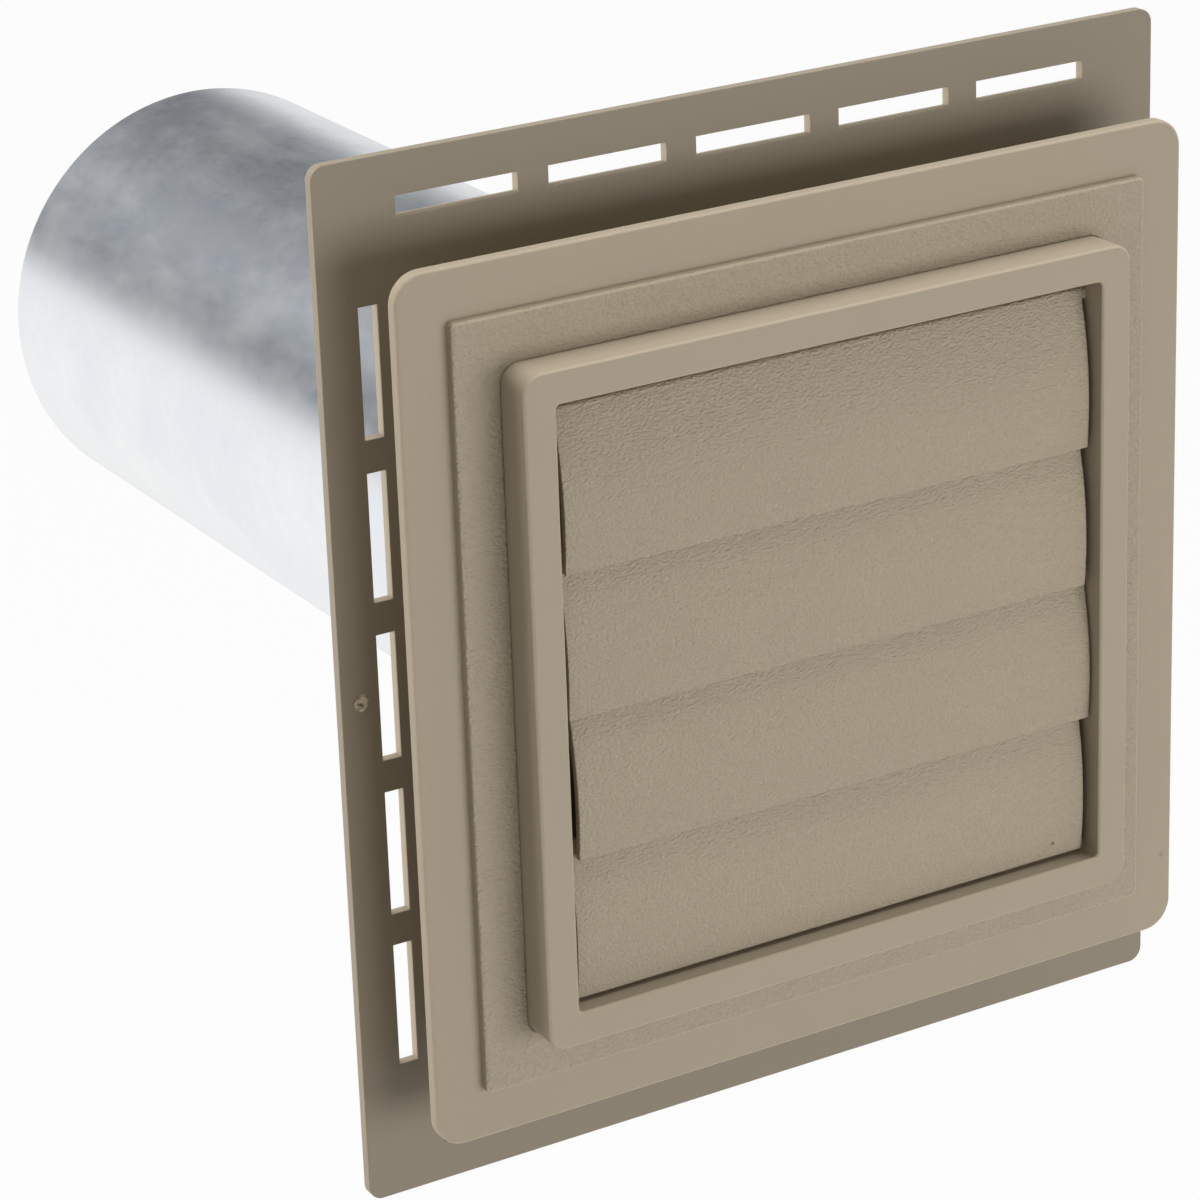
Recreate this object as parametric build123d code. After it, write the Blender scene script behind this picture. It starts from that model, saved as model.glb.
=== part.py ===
from build123d import *
import math
import os

# A louvered wall exhaust vent with a tail pipe. Millimetres, +Z up, the front faces -Y.
# The origin is the duct's axis at the wall, which is the plane of the flange's back face.
# A depth is measured forward from the wall, so a point at depth d lies at y = -d.

# Nailing flange
flange_width = 190.5
flange_height = 212.7
flange_thickness = 2.2
flange_corner_radius = 3.0
slot_count = 5
slot_length = 26.0
slot_width = 4.05
slot_web = 6.6
slot_inset = 8.2
gate_radius = 1.6
gate_rim = 0.6
gate_height = 0.35

# Square box with its bezel, and the tunnel inside it
box_width = 137.8
box_depth = 31.0
box_corner_radius = 4.0
box_wall = 2.0
bezel_width = 6.8
bezel_thickness = 2.2
bezel_edge_chamfer = 0.4
tunnel_wall = 1.8
tunnel_corner_radius = 1.0
rib_thickness = 1.5
back_wall_recess = 4.0
back_wall_thickness = 2.0
stop_height = 2.2
stop_thickness = 1.6
stop_clearance = 0.35

# Tail pipe and the socket that holds it
pipe_diameter = 100.8
pipe_wall = 0.5
pipe_reach = 250.5
seam_width = 8.0
seam_rise = 0.8
seam_angle = -45.0
seam_clearance = 0.3
socket_length = 28.0
socket_wall = 2.4
socket_clearance = 0.1
seat_clearance = 0.2

# Trim ring that slides on the box
ring_clearance = 0.12
ring_depth = 20.4
lip_thickness = 2.5
lip_band = 10.3
lip_edge_radius = 0.6
ring_corner_radius = 6.2
step_band = 9.58
step_rise = 2.0
step_corner_radius = 1.2
step_edge_radius = 0.6
sleeve_wall = 1.9
ring_travel_back = 5.0
ring_end_clearance = 0.5
detent_width = 20.0
detent_height = 0.6
detent_thickness = 1.0
detent_pitch = 2.0
detent_count = 4
detent_relief = 1.0
detent_clearance = 0.25

# Louvers that hang from pins in the tunnel's side walls
louver_count = 4
louver_thickness = 1.4
louver_crown = 1.4
louver_edge_radius = 0.4
louver_lap = 2.0
louver_side_gap = 1.8
lap_clearance = 0.5
foot_clearance = 1.0
pin_radius = 1.3
pin_clearance = 0.06
pin_end_clearance = 0.9
pin_setback = 6.8
top_pin_drop = 3.8
last_louver_tilt = 2.8
# Share of the side gap that each louver has slid to the right on its pins, from the top down
side_float = (0.3, 0.05, 0.65, 0.05)

# Sizes that follow from those above
slot_pitch = slot_length + slot_web
opening = box_width - 2 * bezel_width
tunnel_width = opening + 2 * tunnel_wall
channel_outer_width = box_width - 2 * box_wall
pipe_radius = pipe_diameter / 2
socket_bore_radius = pipe_radius + socket_clearance
ring_hole = box_width + 2 * ring_clearance
sleeve_width = ring_hole + 2 * sleeve_wall
step_width = ring_hole + 2 * step_band
ring_width = step_width + 2 * lip_band
lip_back = ring_depth - lip_thickness
sleeve_end = flange_thickness + ring_travel_back + ring_end_clearance
pin_depth = box_depth - pin_setback
pin_pitch = (opening - top_pin_drop - louver_lap - foot_clearance) / louver_count
top_pin_height = opening / 2 - top_pin_drop
pin_heights = [top_pin_height - i * pin_pitch for i in range(louver_count)]
louver_chord = pin_pitch + louver_lap
louver_length = opening - 2 * louver_side_gap
slat_offset = pin_radius - louver_thickness / 2
pin_span = channel_outer_width - 2 * (max(side_float) * louver_side_gap + pin_end_clearance)


def rounded_square(width, radius):
    return RectangleRounded(width, width, radius)


def slab(sketch, back, front):
    """A sketch of the front view, in X and Z, given thickness between two depths."""
    return extrude(Plane.XZ.offset(back) * sketch, amount=front - back)


def cross_bars(length, width):
    return Rectangle(length, width) + Rectangle(width, length)


def rounded_front(plate, radius):
    """A plate with the outer edge of its front face rounded."""
    return fillet(plate.faces().sort_by(Axis.Y)[0].outer_wire().edges(), radius)


def crown_height(distance):
    """How far the louver's middle surface stands off its chord, at a distance from the pin."""
    share = distance / louver_chord
    return 4 * louver_crown * share * (1 - share)


def lapped_tilt():
    """The tilt at which a louver's foot lies in front of the next louver's head with a small gap."""
    rise = crown_height(louver_lap)
    off_slat = louver_thickness + rise + lap_clearance
    off_pin = louver_thickness - rise + lap_clearance
    return math.degrees(math.asin(max(off_slat, off_pin) / pin_pitch))


def louver_tilt(index):
    return last_louver_tilt if index == louver_count - 1 else lapped_tilt()


def flange():
    row = [(i - (slot_count - 1) / 2) * slot_pitch for i in range(slot_count)]
    from_centre = slot_inset + slot_width / 2
    across = flange_height / 2 - from_centre
    upright = flange_width / 2 - from_centre
    flat = Rectangle(slot_length, slot_width)
    tall = Rectangle(slot_width, slot_length)
    outline = RectangleRounded(flange_width, flange_height, flange_corner_radius)
    outline -= rounded_square(channel_outer_width, box_corner_radius - box_wall)
    for side in (-1, 1):
        outline -= [Pos(place, side * across) * flat for place in row]
        outline -= [Pos(side * upright, place) * tall for place in row]
    return slab(outline, 0, flange_thickness)


def gate_mark():
    """The round scar beside the middle left slot where the moulding was cut from its runner."""
    place = Pos(slot_inset / 2 - flange_width / 2, 0)
    scar = place * (Circle(gate_radius) - Circle(gate_radius - gate_rim))
    return slab(scar, flange_thickness / 2, flange_thickness + gate_height)


def box_and_tunnel():
    """The outer box wall and the tunnel wall, joined at the bezel and open to the back between them."""
    outer = rounded_square(box_width, box_corner_radius)
    inner = rounded_square(channel_outer_width, box_corner_radius - box_wall)
    tunnel = rounded_square(tunnel_width, tunnel_corner_radius + tunnel_wall)
    shell = slab(outer - rounded_square(opening, tunnel_corner_radius), 0, box_depth)
    shell -= slab(inner, 0, back_wall_recess)
    shell -= slab(inner - tunnel, back_wall_recess, box_depth - bezel_thickness)
    return chamfer(shell.faces().sort_by(Axis.Y)[0].edges(), bezel_edge_chamfer)


def channel_ribs():
    """Thin webs that tie the tunnel wall to the box wall, between the louver pins."""
    middle = (tunnel_width + channel_outer_width) / 4
    span = (channel_outer_width - tunnel_width) / 2 + tunnel_wall
    webs = Sketch()
    for number in range(louver_count):
        place = (number - (louver_count - 1) / 2) * pin_pitch
        for side in (-1, 1):
            webs += Pos(side * middle, place) * Rectangle(span, rib_thickness)
            webs += Pos(place, side * middle) * Rectangle(rib_thickness, span)
    return slab(webs, back_wall_recess, box_depth - bezel_thickness / 2)


def back_wall_and_socket():
    socket_radius = socket_bore_radius + socket_wall
    wall_front = back_wall_recess + back_wall_thickness
    plate = rounded_square(tunnel_width, tunnel_corner_radius + tunnel_wall)
    wall = slab(plate - Circle(pipe_radius - pipe_wall), back_wall_recess, wall_front)
    groove_width = seam_width + 2 * seam_clearance
    groove_reach = 2 * (seam_rise + seam_clearance)
    groove = Rot(0, 0, seam_angle) * Pos(pipe_radius, 0) * Rectangle(groove_reach, groove_width)
    ring = Circle(socket_radius) - Circle(socket_bore_radius) - groove
    return wall + slab(ring, back_wall_recess - socket_length, back_wall_recess)


def foot_stop():
    """A ledge on the tunnel's floor that the lowest louver's foot closes against."""
    lean = math.radians(last_louver_tilt)
    foot_depth = pin_depth + slat_offset * math.cos(lean) + louver_chord * math.sin(lean)
    foot_back = foot_depth - louver_thickness / 2 * math.cos(lean)
    front = foot_back - stop_clearance
    root = tunnel_wall / 2
    centre = (stop_height - root - opening) / 2
    ledge = Pos(0, centre) * Rectangle(opening, stop_height + root)
    return slab(ledge, front - stop_thickness, front)


def detents():
    """Low ridges across the middle of each box wall, which hold the trim ring at its depth."""
    ridge = cross_bars(box_width + 2 * detent_height, detent_width)
    ridge -= rounded_square(box_width - box_wall, box_corner_radius)
    first = flange_thickness + detent_pitch
    backs = [first + i * detent_pitch for i in range(detent_count)]
    return [slab(ridge, back, back + detent_thickness) for back in backs]


def bearing_holes():
    reach = (tunnel_width + channel_outer_width) / 2
    drill = Cylinder(pin_radius + pin_clearance, reach, rotation=(0, 90, 0))
    return [Pos(0, -pin_depth, height) * drill for height in pin_heights]


def mounting_base():
    base = flange() + box_and_tunnel() + channel_ribs() + back_wall_and_socket()
    base += [gate_mark(), foot_stop(), *detents()]
    return base - bearing_holes()


def trim_ring():
    hole = rounded_square(ring_hole, box_corner_radius + ring_clearance)
    sleeve = rounded_square(sleeve_width, box_corner_radius + ring_clearance + sleeve_wall)
    step = rounded_square(step_width, step_corner_radius)
    step_front = ring_depth + step_rise
    raised = rounded_front(slab(step, lip_back, step_front), step_edge_radius)
    lip = slab(rounded_square(ring_width, ring_corner_radius), lip_back, ring_depth)
    hollow = rounded_square(step_width - 2 * lip_thickness, step_corner_radius) - sleeve
    ring = rounded_front(lip, lip_edge_radius) + raised + slab(sleeve, sleeve_end, lip_back)
    ring -= slab(hollow, lip_back, step_front - lip_thickness)
    ring -= slab(hole, sleeve_end, step_front)
    relief_width = detent_width + 2 * detent_relief
    ring -= slab(cross_bars(ring_hole + 2 * detent_relief, relief_width), sleeve_end, lip_back)
    return ring + catches()


def catches():
    """The bump at the end of each thinned sleeve wall that clicks over the detents."""
    reach = box_width + 2 * (detent_height + detent_clearance)
    root = ring_hole + detent_relief + sleeve_wall
    bump = cross_bars(root, detent_width) - Rectangle(reach, reach)
    return slab(bump, sleeve_end, sleeve_end + detent_thickness)


def louver(index):
    """A bowed slat whose front runs up over a round bead along its top, the ends of which are the pins."""
    line = -slat_offset
    bow = ThreePointArc((line, 0), (line - louver_crown, -louver_chord / 2), (line, -louver_chord))
    slat = trace(bow, louver_thickness)
    slat = fillet(slat.vertices().sort_by(Axis.Y)[:2], louver_edge_radius)
    bead = Circle(pin_radius)
    body = extrude(Plane.YZ * (slat + bead), amount=louver_length / 2, both=True)
    body += extrude(Plane.YZ * bead, amount=pin_span / 2, both=True)
    place = Pos(side_float[index] * louver_side_gap, -pin_depth, pin_heights[index])
    return place * Rot(-louver_tilt(index), 0, 0) * body


def tail_pipe():
    seam = Rot(0, 0, seam_angle) * Pos(pipe_radius, 0) * Rectangle(2 * seam_rise, seam_width)
    section = Circle(pipe_radius) + seam - Circle(pipe_radius - pipe_wall)
    return slab(section, -pipe_reach, back_wall_recess - seat_clearance)


nodes = {"mounting_base": mounting_base(), "trim_ring": trim_ring(), "tail_pipe": tail_pipe()}
for number in range(louver_count):
    nodes[f"louver_{number + 1}"] = louver(number)

os.makedirs("parts", exist_ok=True)
for name, solid in nodes.items():
    export_step(solid, f"parts/{name}.step")
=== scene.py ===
import math
import bpy
from mathutils import Matrix, Vector


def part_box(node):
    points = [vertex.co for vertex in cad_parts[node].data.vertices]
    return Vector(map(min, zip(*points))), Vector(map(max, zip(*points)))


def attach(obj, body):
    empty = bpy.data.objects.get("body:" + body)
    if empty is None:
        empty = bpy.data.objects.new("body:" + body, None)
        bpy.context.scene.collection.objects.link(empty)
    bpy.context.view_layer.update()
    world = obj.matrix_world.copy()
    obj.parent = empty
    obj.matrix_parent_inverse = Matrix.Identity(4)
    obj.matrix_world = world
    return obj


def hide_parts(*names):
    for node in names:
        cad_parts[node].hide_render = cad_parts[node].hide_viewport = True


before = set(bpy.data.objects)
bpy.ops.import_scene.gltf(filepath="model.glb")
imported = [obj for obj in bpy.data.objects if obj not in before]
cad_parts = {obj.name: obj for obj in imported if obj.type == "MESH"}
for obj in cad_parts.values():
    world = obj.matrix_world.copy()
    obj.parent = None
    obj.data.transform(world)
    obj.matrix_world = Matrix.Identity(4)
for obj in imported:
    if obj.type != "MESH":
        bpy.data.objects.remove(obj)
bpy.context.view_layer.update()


# Tail pipe: one sheet of galvanised steel, rolled round and closed with a lock seam along its lower side.
# It pushes into the socket behind the base. The zinc shows a soft blue-grey spangle, and dust is smeared
# over the pipe's upper half.

# Sizes and places here and below are in metres.
pipe_low, pipe_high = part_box("tail_pipe")
pipe_radius = 0.0504
pipe_wall = 0.0005
seam_width = 0.008
seam_rise = 0.0008
seam_angle = math.radians(-45)
seam_flat_share = 0.42  # of the width, from the middle to where the fold drops
weld_gap = 0.00002  # points nearer than this become one
zinc_blue = (0.81, 0.845, 0.89, 1.0)
zinc_pale = (0.94, 0.95, 0.955, 1.0)
frost_share = 0.85  # of the spangle, beside its finer flecks
dust_starts, dust_full = 0.008, 0.03  # heights above the axis
dust_dulls = 0.06
dust_covers = 0.18
inside_tarnish = 0.45


def new_tree(name, inputs):
    """A Geometry Nodes tree with named inputs and one geometry output."""
    tree = bpy.data.node_groups.new(name, "GeometryNodeTree")
    for label, kind in inputs:
        tree.interface.new_socket(name=label, in_out="INPUT", socket_type="NodeSocket" + kind)
    tree.interface.new_socket(name="Geometry", in_out="OUTPUT", socket_type="NodeSocketGeometry")
    return tree


def add(tree, kind, values=None, **settings):
    """A node with its settings, whose inputs are given by name or number as constants or as links."""
    node = tree.nodes.new(kind)
    for key, value in settings.items():
        setattr(node, key, value)
    for key, value in (values or {}).items():
        if isinstance(value, bpy.types.NodeSocket):
            tree.links.new(value, node.inputs[key])
        else:
            node.inputs[key].default_value = value
    return node


def maths(tree, operation, *values):
    """The result of one sum on constants or links."""
    node = add(tree, "ShaderNodeMath", dict(enumerate(values)), operation=operation)
    return node.outputs[0]


def close_tree(tree, geometry, material):
    """The end of a tree: plain geometry that wears its material."""
    real = add(tree, "GeometryNodeRealizeInstances", {"Geometry": geometry})
    faced = add(tree, "GeometryNodeSetMaterial", {"Geometry": real.outputs[0], "Material": material})
    add(tree, "NodeGroupOutput", {"Geometry": faced.outputs[0]})


def bake(name, tree, values, sharp, bevel=0.0):
    """One plain mesh object made by a tree, with smooth faces and edges sharp beyond an angle."""
    made = bpy.data.objects.new(name, bpy.data.meshes.new(name))
    bpy.context.scene.collection.objects.link(made)
    modifier = made.modifiers.new("nodes", "NODES")
    modifier.node_group = tree
    for item in tree.interface.items_tree:
        if item.in_out == "INPUT":
            modifier[item.identifier] = values[item.name]
    if bevel:
        edge = made.modifiers.new("edge", "BEVEL")
        edge.width = bevel
        edge.segments = 3
        edge.limit_method = "ANGLE"
        edge.angle_limit = math.radians(50)
    graph = bpy.context.evaluated_depsgraph_get()
    mesh = bpy.data.meshes.new_from_object(made.evaluated_get(graph))
    made.modifiers.clear()
    made.data = mesh
    mesh.name = name
    mesh.shade_smooth()
    mesh.set_sharp_from_angle(angle=math.radians(sharp))
    return made


def shader(name):
    """A new material with its node tree and its main shader node."""
    material = bpy.data.materials.new(name)
    material.use_nodes = True
    return material, material.node_tree, material.node_tree.nodes["Principled BSDF"]


steel, nodes, surface = shader("galvanised_steel")
place = add(nodes, "ShaderNodeTexCoord").outputs["Object"]
frost = add(nodes, "ShaderNodeTexNoise", {"Vector": place, "Scale": 34.0, "Detail": 6.0, "Roughness": 0.6})
flecks = add(nodes, "ShaderNodeTexNoise", {"Vector": place, "Scale": 300.0, "Detail": 2.0})
spangle = maths(nodes, "ADD", maths(nodes, "MULTIPLY", frost.outputs["Fac"], frost_share),
                maths(nodes, "MULTIPLY", flecks.outputs["Fac"], 1.0 - frost_share))
tint = add(nodes, "ShaderNodeValToRGB", {"Fac": spangle})
blue_end, pale_end = tint.color_ramp.elements
blue_end.position, blue_end.color = 0.35, zinc_blue
pale_end.position, pale_end.color = 0.65, zinc_pale
nodes.links.new(tint.outputs["Color"], surface.inputs["Base Color"])
sheen = add(nodes, "ShaderNodeMapRange", {"Value": spangle, "From Min": 0.28, "From Max": 0.72,
                                          "To Min": 0.22, "To Max": 0.36})
dimple = add(nodes, "ShaderNodeBump", {"Height": frost.outputs["Fac"], "Strength": 0.03, "Distance": 0.0006})
nodes.links.new(dimple.outputs["Normal"], surface.inputs["Normal"])

slant = add(nodes, "ShaderNodeMapping", {"Vector": place, "Rotation": (0.0, 0.0, 0.6),
                                         "Scale": (1.0, 0.45, 1.0)})
cloud = add(nodes, "ShaderNodeTexNoise", {"Vector": slant.outputs[0], "Scale": 36.0, "Detail": 7.0,
                                          "Roughness": 0.72, "Distortion": 0.2})
smear = add(nodes, "ShaderNodeMapRange", {"Value": cloud.outputs["Fac"], "From Min": 0.42, "From Max": 0.78})
upper = add(nodes, "ShaderNodeMapRange", {
    "Value": add(nodes, "ShaderNodeSeparateXYZ", {"Vector": place}).outputs["Z"],
    "From Min": dust_starts, "From Max": dust_full}, interpolation_type="SMOOTHSTEP")
dust = maths(nodes, "MULTIPLY", smear.outputs["Result"], upper.outputs["Result"])
across = add(nodes, "ShaderNodeVectorMath", {0: place, 1: (1.0, 0.0, 1.0)}, operation="MULTIPLY")
off_axis = add(nodes, "ShaderNodeVectorMath", {0: across.outputs[0]}, operation="LENGTH").outputs["Value"]
inside = maths(nodes, "LESS_THAN", off_axis, pipe_radius - pipe_wall / 2)
bare = maths(nodes, "MULTIPLY_ADD", inside, -inside_tarnish, 1.0)
nodes.links.new(maths(nodes, "MULTIPLY_ADD", dust, dust_dulls, sheen.outputs["Result"]),
                surface.inputs["Roughness"])
nodes.links.new(maths(nodes, "MULTIPLY_ADD", dust, -dust_covers, bare), surface.inputs["Metallic"])

rolled = new_tree("rolled_pipe", [
    ("Radius", "Float"), ("Wall", "Float"), ("Front", "Float"), ("Length", "Float"),
    ("Seam Width", "Float"), ("Seam Rise", "Float"), ("Seam Angle", "Float"), ("Material", "Material")])
given = add(rolled, "NodeGroupInput").outputs
sheet = add(rolled, "GeometryNodeMeshGrid", {
    "Size X": 1.0, "Size Y": 1.0, "Vertices X": 721, "Vertices Y": 9})
spot = add(rolled, "ShaderNodeSeparateXYZ", {"Vector": add(rolled, "GeometryNodeInputPosition").outputs[0]})
turn = maths(rolled, "MULTIPLY", spot.outputs["X"], 2 * math.pi)
off_seam = maths(rolled, "MULTIPLY", maths(rolled, "ABSOLUTE", turn), given["Radius"])
fold = add(rolled, "ShaderNodeMapRange", {
    "Value": off_seam, "From Min": maths(rolled, "MULTIPLY", given["Seam Width"], seam_flat_share),
    "From Max": maths(rolled, "MULTIPLY", given["Seam Width"], 0.5), "To Min": 1.0, "To Max": 0.0,
}, interpolation_type="SMOOTHSTEP")
from_axis = maths(rolled, "MULTIPLY_ADD", fold.outputs["Result"], given["Seam Rise"], given["Radius"])
angle = maths(rolled, "ADD", turn, given["Seam Angle"])
along = maths(rolled, "MULTIPLY_ADD", maths(rolled, "ADD", spot.outputs["Y"], 0.5),
              given["Length"], given["Front"])
rolled_place = add(rolled, "ShaderNodeCombineXYZ", {
    "X": maths(rolled, "MULTIPLY", from_axis, maths(rolled, "COSINE", angle)), "Y": along,
    "Z": maths(rolled, "MULTIPLY", from_axis, maths(rolled, "SINE", angle))})
tube = add(rolled, "GeometryNodeSetPosition", {
    "Geometry": sheet.outputs["Mesh"], "Position": rolled_place.outputs[0]})
tube = add(rolled, "GeometryNodeMergeByDistance", {"Geometry": tube.outputs[0], "Distance": weld_gap})
inner = add(rolled, "GeometryNodeExtrudeMesh", {
    "Mesh": tube.outputs[0], "Offset Scale": given["Wall"], "Individual": False})
both = add(rolled, "GeometryNodeJoinGeometry")
rolled.links.new(inner.outputs["Mesh"], both.inputs[0])
turned = add(rolled, "GeometryNodeFlipFaces", {"Mesh": tube.outputs[0]})
rolled.links.new(turned.outputs[0], both.inputs[0])
shell = add(rolled, "GeometryNodeMergeByDistance", {"Geometry": both.outputs[0], "Distance": weld_gap})
close_tree(rolled, shell.outputs[0], given["Material"])
pipe = bake("rolled_tail_pipe", rolled, {
    "Radius": pipe_radius, "Wall": pipe_wall, "Front": pipe_low.y, "Length": pipe_high.y - pipe_low.y,
    "Seam Width": seam_width, "Seam Rise": seam_rise, "Seam Angle": seam_angle, "Material": steel}, sharp=40)
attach(pipe, "base")
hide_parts("tail_pipe")


# Mounting base: one moulding of taupe plastic, with its nailing flange, box, bezel, tunnel and pipe socket.
# It is nailed to the wall through the slots. Its faces are smooth and satin, and a torn scar on the left
# of the flange shows where the mould was filled.

taupe = (0.366, 0.312, 0.240)
tone_drift = 0.03
edge_radius = 0.0004
# Painted highlight along edges and on curved faces, as a paler colour:
edge_highlight_tone = 1.6
edge_highlight_cover = 0.6
curve_highlight_share = 0.5
# Painted shade: the flange is given a darker colour than the box, fading in between the two depths below.
painted_shade_tone = 0.69
shade_starts, shade_full = -0.0060, -0.0024  # depths, on the box and just before the flange
# Painted highlight: faces that face sideways at and behind the flange, its cut edges and more so its slot
# walls, are made paler.
cut_depth = -0.0023
cut_face_highlight = 0.15
slot_wall_highlight = 0.35
flange_overheight = 0.0111  # half its height less half its width
rim_starts = 0.1055  # edges nearer the middle are those of slots
fray_reach = 0.003
scar_centre = (-0.08965, -0.0025, 0.0015)  # moved by half the fraying


def plastic(name, tone, roughness):
    """Plastic with a faint unevenness of colour and slightly rounded edges, whose edges and curved faces
    carry a painted highlight.
    """
    material, nodes, surface = shader(name)
    place = add(nodes, "ShaderNodeTexCoord").outputs["Object"]
    cloud = add(nodes, "ShaderNodeTexNoise", {"Vector": place, "Scale": 30.0, "Detail": 3.0})
    mix = add(nodes, "ShaderNodeMix", {"Factor": cloud.outputs["Fac"]}, data_type="RGBA")
    mix.inputs["A"].default_value = tuple(c * (1.0 - tone_drift) for c in tone) + (1.0,)
    mix.inputs["B"].default_value = tuple(c * (1.0 + tone_drift) for c in tone) + (1.0,)
    rounded = add(nodes, "ShaderNodeBevel", {"Radius": edge_radius}, samples=2)
    true_normal = add(nodes, "ShaderNodeNewGeometry").outputs["True Normal"]
    facing = add(nodes, "ShaderNodeVectorMath", {0: rounded.outputs[0], 1: true_normal},
                 operation="DOT_PRODUCT")
    corner = add(nodes, "ShaderNodeMapRange", {"Value": facing.outputs["Value"],
                                               "From Min": 0.99, "From Max": 0.85})
    own_normal = add(nodes, "ShaderNodeVectorTransform", {"Vector": true_normal}, vector_type="NORMAL",
                     convert_from="WORLD", convert_to="OBJECT")
    frontal = maths(nodes, "ABSOLUTE", add(nodes, "ShaderNodeSeparateXYZ", {
        "Vector": own_normal.outputs[0]}).outputs["Y"])
    curve = maths(nodes, "MULTIPLY", maths(nodes, "GREATER_THAN", frontal, 0.25),
                  maths(nodes, "LESS_THAN", frontal, 0.94))
    # Painted highlight: a mask of edges and of curved faces, where the colour is made paler.
    edge = maths(nodes, "MAXIMUM", corner.outputs["Result"], maths(nodes, "MULTIPLY", curve, curve_highlight_share))
    shade = add(nodes, "ShaderNodeVectorMath", {0: mix.outputs["Result"], "Scale": 1.0}, operation="SCALE")
    painted_edge_highlight = add(nodes, "ShaderNodeMix", {"Factor": maths(nodes, "MULTIPLY", edge, edge_highlight_cover),
                                        "A": shade.outputs[0]}, data_type="RGBA")
    painted_edge_highlight.inputs["B"].default_value = tuple(c * edge_highlight_tone for c in tone) + (1.0,)
    nodes.links.new(painted_edge_highlight.outputs["Result"], surface.inputs["Base Color"])
    surface.inputs["Roughness"].default_value = roughness
    surface.inputs["Specular IOR Level"].default_value = 0.4
    relief = add(nodes, "ShaderNodeBump", {"Normal": rounded.outputs[0]})
    nodes.links.new(relief.outputs["Normal"], surface.inputs["Normal"])
    return material, nodes, place, relief.inputs, shade.inputs["Scale"], frontal


smooth, nodes, place, relief, shade, frontal = plastic("satin_plastic", taupe, 0.5)
ripple = add(nodes, "ShaderNodeTexNoise", {"Vector": place, "Scale": 900.0, "Detail": 2.0})
nodes.links.new(ripple.outputs["Fac"], relief["Height"])
relief["Strength"].default_value = 0.2
relief["Distance"].default_value = 0.0001
spot = add(nodes, "ShaderNodeSeparateXYZ", {"Vector": place}).outputs
depth = spot["Y"]
# Painted shade on the flange, set by depth.
painted_flange_shade = add(nodes, "ShaderNodeMapRange", {
    "Value": depth, "From Min": shade_starts, "From Max": shade_full, "To Min": 1.0, "To Max": painted_shade_tone})
# Painted highlight on the flange's sideways faces, added to its painted shade.
highlit_cut_faces = maths(nodes, "MULTIPLY", maths(nodes, "LESS_THAN", frontal, 0.5),
                 maths(nodes, "GREATER_THAN", depth, cut_depth))
sideward = maths(nodes, "ADD", maths(nodes, "ABSOLUTE", spot["X"]), flange_overheight)
outward = maths(nodes, "MAXIMUM", sideward, maths(nodes, "ABSOLUTE", spot["Z"]))
side_highlight = maths(nodes, "MULTIPLY_ADD", maths(nodes, "LESS_THAN", outward, rim_starts),
                 slot_wall_highlight, cut_face_highlight)
tone = maths(nodes, "MULTIPLY_ADD", highlit_cut_faces, side_highlight, painted_flange_shade.outputs["Result"])
fray = add(nodes, "ShaderNodeTexNoise", {"Vector": place, "Scale": 620.0, "Detail": 2.0})
frayed = add(nodes, "ShaderNodeVectorMath", {
    0: fray.outputs["Color"], 1: (fray_reach, 0.0, fray_reach), 2: place}, operation="MULTIPLY_ADD")
scar = add(nodes, "ShaderNodeVectorMath", {0: frayed.outputs[0], 1: scar_centre}, operation="DISTANCE")
torn = add(nodes, "ShaderNodeMapRange", {"Value": scar.outputs["Value"], "From Min": 0.0012,
                                         "From Max": 0.0016, "To Min": 2.3, "To Max": 1.0})
pit = add(nodes, "ShaderNodeMapRange", {"Value": scar.outputs["Value"], "From Min": 0.0004,
                                        "From Max": 0.0008, "To Min": 0.2, "To Max": 1.0})
worn = maths(nodes, "MULTIPLY", torn.outputs["Result"], pit.outputs["Result"])
nodes.links.new(maths(nodes, "MULTIPLY", tone, worn), shade)
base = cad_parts["mounting_base"]
base.data.materials.clear()
base.data.materials.append(smooth)


# Four louvers: bowed slats moulded from the same plastic, each hanging from a bead along its top, whose ends
# turn in the tunnel walls. The mould gives their faces a fine streaked grain. Each foot laps in front of the
# next louver's head.

louver_length = 0.1206
louver_chord = 0.03135
louver_crown = 0.0014
louver_thickness = 0.0014
louver_edge = 0.0003
bead_radius = 0.0013
pin_span = 0.12966
pin_depth = 0.0242
top_pin_height = 0.0583
louver_pitch = 0.02935
louver_tilts = (4.37, 4.37, 4.37, 2.8)  # degrees
louver_floats = (0.00054, 0.00009, 0.00117, 0.00009)  # how far each has slid on its pins
louver_weld = 0.00001
louver_speck = (0.0530, -0.0272, -0.0580)
pore_floor, pore_rise = 0.97, 0.12


def grain(nodes, place, relief):
    """The mould's leathery grain, drawn out along the louver, as the height of a relief node."""
    stretch = add(nodes, "ShaderNodeMapping", {"Vector": place, "Scale": (0.6, 1.0, 1.0)})
    pores = add(nodes, "ShaderNodeTexNoise", {"Vector": stretch.outputs[0], "Scale": 2300.0, "Detail": 0.5})
    nodes.links.new(pores.outputs["Fac"], relief["Height"])
    relief["Strength"].default_value = 1.0
    relief["Distance"].default_value = 0.00036
    return pores.outputs["Fac"]


def speck(nodes, place, centre, radius, tone):
    """A shade factor that is dark at one small speck of dirt and 1 elsewhere."""
    away = add(nodes, "ShaderNodeVectorMath", {0: place, 1: centre}, operation="DISTANCE").outputs["Value"]
    mark = add(nodes, "ShaderNodeMapRange", {"Value": away, "From Min": radius, "From Max": 2 * radius,
                                             "To Min": tone, "To Max": 1.0}, interpolation_type="SMOOTHSTEP")
    return mark.outputs["Result"]


grained, nodes, place, relief, shade = plastic("grained_plastic", taupe, 0.6)[:5]
pores = grain(nodes, place, relief)
nodes.links.new(maths(nodes, "MULTIPLY", maths(nodes, "MULTIPLY_ADD", pores, pore_rise, pore_floor),
                      speck(nodes, place, louver_speck, radius=0.0003, tone=0.4)), shade)

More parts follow.
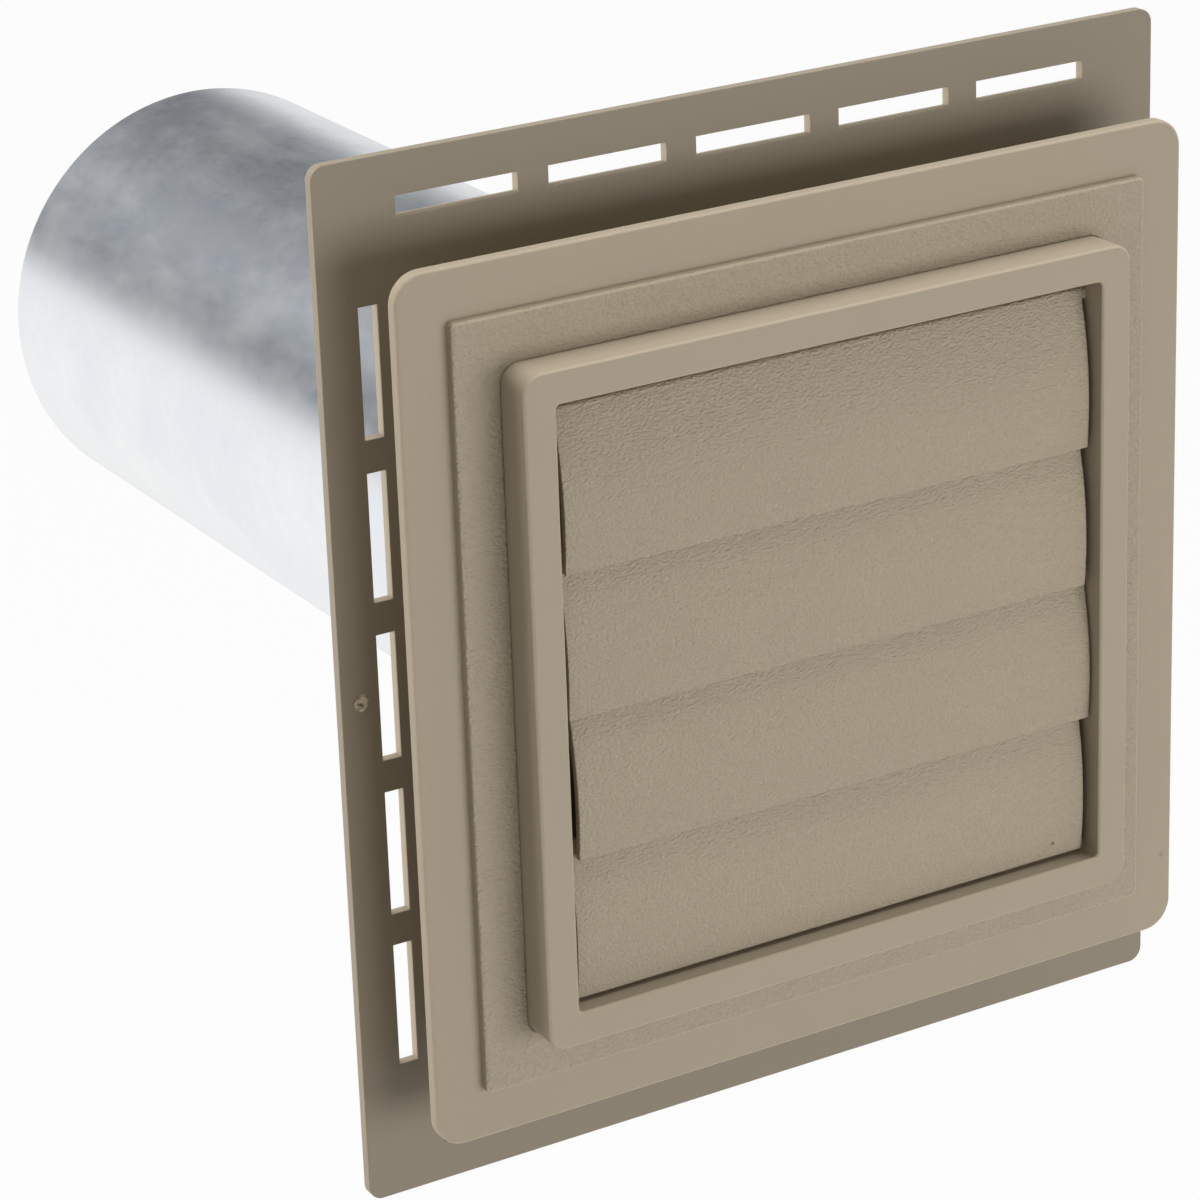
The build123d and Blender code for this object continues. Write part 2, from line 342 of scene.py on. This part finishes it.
slat = new_tree("bowed_slat", [
    ("Length", "Float"), ("Chord", "Float"), ("Crown", "Float"), ("Thickness", "Float"),
    ("Bead Radius", "Float"), ("Pin Span", "Float"), ("Side Float", "Float"), ("Pin Depth", "Float"),
    ("Pin Height", "Float"), ("Tilt", "Float"), ("Material", "Material")])
given = add(slat, "NodeGroupInput").outputs
flat = add(slat, "GeometryNodeMeshGrid", {
    "Size X": given["Length"], "Size Y": 1.0, "Vertices X": 2, "Vertices Y": 33})
spot = add(slat, "ShaderNodeSeparateXYZ", {"Vector": add(slat, "GeometryNodeInputPosition").outputs[0]})
share = maths(slat, "SUBTRACT", 0.5, spot.outputs["Y"])
bow = maths(slat, "MULTIPLY", share, maths(slat, "SUBTRACT", 1.0, share))
bow = maths(slat, "MULTIPLY", maths(slat, "MULTIPLY", bow, 4.0), given["Crown"])
flush = maths(slat, "MULTIPLY_ADD", given["Thickness"], -0.5, given["Bead Radius"])
bowed_place = add(slat, "ShaderNodeCombineXYZ", {
    "X": spot.outputs["X"], "Y": maths(slat, "MULTIPLY", maths(slat, "ADD", bow, flush), -1.0),
    "Z": maths(slat, "MULTIPLY", maths(slat, "MULTIPLY", share, given["Chord"]), -1.0)})
bowed = add(slat, "GeometryNodeSetPosition", {
    "Geometry": flat.outputs["Mesh"], "Position": bowed_place.outputs[0]})
half = maths(slat, "MULTIPLY", given["Thickness"], -0.5)
behind = add(slat, "ShaderNodeVectorMath", {
    0: add(slat, "GeometryNodeInputNormal").outputs[0], "Scale": half}, operation="SCALE")
back = add(slat, "GeometryNodeSetPosition", {"Geometry": bowed.outputs[0], "Offset": behind.outputs[0]})
front = add(slat, "GeometryNodeExtrudeMesh", {
    "Mesh": back.outputs[0], "Offset Scale": given["Thickness"], "Individual": False})
both = add(slat, "GeometryNodeJoinGeometry")
slat.links.new(front.outputs["Mesh"], both.inputs[0])
turned = add(slat, "GeometryNodeFlipFaces", {"Mesh": back.outputs[0]})
slat.links.new(turned.outputs[0], both.inputs[0])
blade = add(slat, "GeometryNodeMergeByDistance", {"Geometry": both.outputs[0], "Distance": louver_weld})
rod = add(slat, "GeometryNodeMeshCylinder", {
    "Vertices": 32, "Radius": given["Bead Radius"], "Depth": given["Pin Span"]})
bead = add(slat, "GeometryNodeTransform", {
    "Geometry": rod.outputs["Mesh"], "Rotation": (0.0, math.pi / 2, 0.0)})
whole = add(slat, "GeometryNodeMeshBoolean", operation="UNION", solver="EXACT")
slat.links.new(blade.outputs[0], whole.inputs["Mesh 2"])
slat.links.new(bead.outputs[0], whole.inputs["Mesh 2"])
hang = add(slat, "ShaderNodeCombineXYZ", {
    "X": given["Side Float"], "Y": maths(slat, "MULTIPLY", given["Pin Depth"], -1.0),
    "Z": given["Pin Height"]})
lean = add(slat, "ShaderNodeCombineXYZ", {"X": maths(slat, "MULTIPLY", given["Tilt"], -1.0)})
hung = add(slat, "GeometryNodeTransform", {
    "Geometry": whole.outputs["Mesh"], "Translation": hang.outputs[0], "Rotation": lean.outputs[0]})
close_tree(slat, hung.outputs[0], given["Material"])
for number in range(4):
    body = f"louver_{number + 1}"
    made = bake(f"grained_louver_{number + 1}", slat, {
        "Length": louver_length, "Chord": louver_chord, "Crown": louver_crown, "Thickness": louver_thickness,
        "Bead Radius": bead_radius, "Pin Span": pin_span, "Side Float": louver_floats[number],
        "Pin Depth": pin_depth, "Pin Height": top_pin_height - number * louver_pitch,
        "Tilt": math.radians(louver_tilts[number]), "Material": grained}, sharp=35, bevel=louver_edge)
    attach(made, body)
    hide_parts(body)


# Trim ring: one moulding of the same plastic, that slides on the box and covers the cut edge of the siding.
# Its raised step carries the louvers' grain. Its flat lip is nearly smooth.

grain_full, grain_fades = -0.0222, -0.0212  # depths, on the step and before the lip
lip_grain = 0.15
pore_contrast = 0.1
ring_speck = (0.0865, -0.0204, -0.0721)

ringed, nodes, place, relief, shade = plastic("ring_plastic", taupe, 0.55)[:5]
pores = grain(nodes, place, relief)
depth = add(nodes, "ShaderNodeSeparateXYZ", {"Vector": place}).outputs["Y"]
on_step = add(nodes, "ShaderNodeMapRange", {"Value": depth, "From Min": grain_full, "From Max": grain_fades,
                                            "To Min": 1.0, "To Max": lip_grain}).outputs["Result"]
nodes.links.new(on_step, relief["Strength"])
cavity = maths(nodes, "MULTIPLY_ADD", maths(nodes, "SUBTRACT", pores, 0.5),
               maths(nodes, "MULTIPLY", on_step, pore_contrast), 1.0)
nodes.links.new(maths(nodes, "MULTIPLY", cavity,
                      speck(nodes, place, ring_speck, radius=0.0004, tone=0.8)), shade)
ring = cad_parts["trim_ring"]
ring.data.materials.clear()
ring.data.materials.append(ringed)


# Studio: a white paper floor in a white room, with soft boxes in front on the right, above, and on the left.
# The pipe mirrors a room with a bright floor, a dark wall above it and a grey ceiling. The camera has a long
# lens and stands where the photo was taken.

floor_level = -0.75
floor_reach = 7.5
floor_grey = (0.6, 0.6, 0.6, 1.0)
floor_glow = 0.97
white = (1.0, 1.0, 1.0)
room_fill = (0.255, 0.24, 0.185, 1.0)
room_floor = (0.78, 0.78, 0.78, 1.0)
room_skirting = (0.125, 0.135, 0.15, 1.0)
room_wall = (0.145, 0.155, 0.167, 1.0)
room_ceiling = (0.36, 0.372, 0.392, 1.0)
dark_side = 0.12  # the way sideways in which the room is darkest
side_base, side_gain, side_limit = 0.62, 1.45, 1.3

floor = bpy.data.objects.new("floor", bpy.data.meshes.new("floor"))
floor.data.from_pydata([(-floor_reach, -floor_reach, floor_level), (floor_reach, -floor_reach, floor_level),
                        (floor_reach, floor_reach, floor_level), (-floor_reach, floor_reach, floor_level)],
                       [], [(0, 1, 2, 3)])
bpy.context.scene.collection.objects.link(floor)
paper, nodes, surface = shader("white_paper")
surface.inputs["Base Color"].default_value = floor_grey
surface.inputs["Roughness"].default_value = 0.9
surface.inputs["Specular IOR Level"].default_value = 0.1
glow = add(nodes, "ShaderNodeEmission", {"Color": (*white, 1.0), "Strength": 1.0})
ray = add(nodes, "ShaderNodeLightPath").outputs
seen = maths(nodes, "MAXIMUM", ray["Is Camera Ray"],
             maths(nodes, "MAXIMUM", ray["Is Glossy Ray"], ray["Is Transmission Ray"]))
blend = add(nodes, "ShaderNodeMixShader", {"Fac": maths(nodes, "MULTIPLY", seen, floor_glow)})
nodes.links.new(surface.outputs[0], blend.inputs[1])
nodes.links.new(glow.outputs[0], blend.inputs[2])
nodes.links.new(blend.outputs[0], nodes.nodes["Material Output"].inputs["Surface"])
floor.data.materials.append(paper)

world = bpy.data.worlds.new("studio")
bpy.context.scene.world = world
world.use_nodes = True
nodes = world.node_tree
ray = add(nodes, "ShaderNodeLightPath").outputs
mirrored = maths(nodes, "MAXIMUM", ray["Is Glossy Ray"], ray["Is Transmission Ray"])
outlook = add(nodes, "ShaderNodeTexCoord").outputs["Generated"]
way = add(nodes, "ShaderNodeSeparateXYZ", {"Vector": outlook}).outputs
lift = add(nodes, "ShaderNodeMapRange", {"Value": way["X"], "From Min": -0.35, "From Max": 0.45,
                                         "To Min": 0.024, "To Max": -0.13}).outputs["Result"]
height = add(nodes, "ShaderNodeValToRGB", {"Fac": maths(nodes, "ADD", way["Z"], lift)})
bands = height.color_ramp.elements
bands[0].position, bands[0].color = 0.0, room_floor
bands[1].position, bands[1].color = 0.41, room_ceiling
bands.new(0.13).color = room_skirting
bands.new(0.27).color = room_wall
aside = maths(nodes, "ABSOLUTE", maths(nodes, "SUBTRACT", way["X"], dark_side))
sideways = maths(nodes, "MINIMUM", side_limit, maths(nodes, "MULTIPLY_ADD", aside, side_gain, side_base))
shown = add(nodes, "ShaderNodeVectorMath", {0: height.outputs["Color"], "Scale": sideways},
            operation="SCALE")
unseen = add(nodes, "ShaderNodeMix", {"Factor": mirrored, "B": shown.outputs[0]}, data_type="RGBA")
unseen.inputs["A"].default_value = room_fill
backdrop = add(nodes, "ShaderNodeMix", {"Factor": ray["Is Camera Ray"], "A": unseen.outputs["Result"]},
               data_type="RGBA")
backdrop.inputs["B"].default_value = (*white, 1.0)
nodes.links.new(backdrop.outputs["Result"], nodes.nodes["Background"].inputs["Color"])


def lamp(name, place, size, power, tint):
    """A soft box that faces the vent, and stays out of the pipe's reflections."""
    light = bpy.data.lights.new(name, "AREA")
    light.shape = "RECTANGLE"
    light.size, light.size_y = size
    light.energy = power
    light.color = tint
    made = bpy.data.objects.new(name, light)
    bpy.context.scene.collection.objects.link(made)
    made.location = place
    made.rotation_euler = Vector(place).to_track_quat("Z", "Y").to_euler()
    made.visible_glossy = False


lamp("key", place=(0.5, -1.4, -0.12), size=(1.3, 0.8), power=13.9, tint=white)
lamp("top", place=(0.1, 0.11, 1.3), size=(1.2, 0.35), power=19.5, tint=white)
lamp("fill", place=(-1.2, -1.0, 0.0), size=(0.9, 0.9), power=2.0, tint=(1.0, 0.96, 0.94))
lamp("rim", place=(-1.0, 0.7, 0.1), size=(0.8, 0.8), power=14.0, tint=(1.0, 0.99, 0.97))

eye = Vector((-0.439309, -0.697439, 0.328301))
aim = Vector((-0.0324, 0.0, 0.0177))
roll = math.radians(-1.975)
lens = bpy.data.cameras.new("camera")
lens.sensor_width = 36.0
lens.lens = 132.86
lens.shift_x = -0.0136
lens.shift_y = -0.0430
camera = bpy.data.objects.new("camera", lens)
bpy.context.scene.collection.objects.link(camera)
level = (aim - eye).to_track_quat("-Z", "Y").to_matrix().to_4x4()
camera.matrix_world = Matrix.Translation(eye) @ level @ Matrix.Rotation(roll, 4, "Z")
bpy.context.scene.camera = camera
bpy.context.scene.view_settings.view_transform = "Standard"
